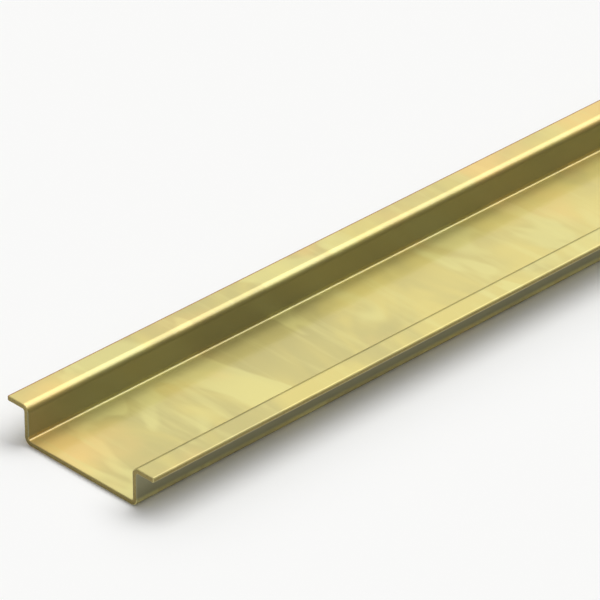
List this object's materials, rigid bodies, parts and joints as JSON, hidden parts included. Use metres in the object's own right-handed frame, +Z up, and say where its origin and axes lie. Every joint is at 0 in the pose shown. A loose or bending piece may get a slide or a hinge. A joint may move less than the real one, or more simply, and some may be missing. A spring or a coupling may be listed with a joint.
{
  "type": "top hat mounting rail",
  "caption": "Plain top-hat mounting rail of bent steel strip: a flat-floored open channel with two outward lips that devices clip onto.",
  "frame": {"origin": "underside of the base, at the middle of the rail's length and width", "axes": "+X along the rail, +Y across it, +Z up from the base to the lips"},
  "size_m": [1, 0.035, 0.0075],
  "materials": {
    "zinc_chromate": "zinc plate with a yellow chromate film, satin, cloudy from straw yellow to olive"
  },
  "bodies": {
    "root": {"rail": "zinc_chromate"}
  },
  "joints": []
}
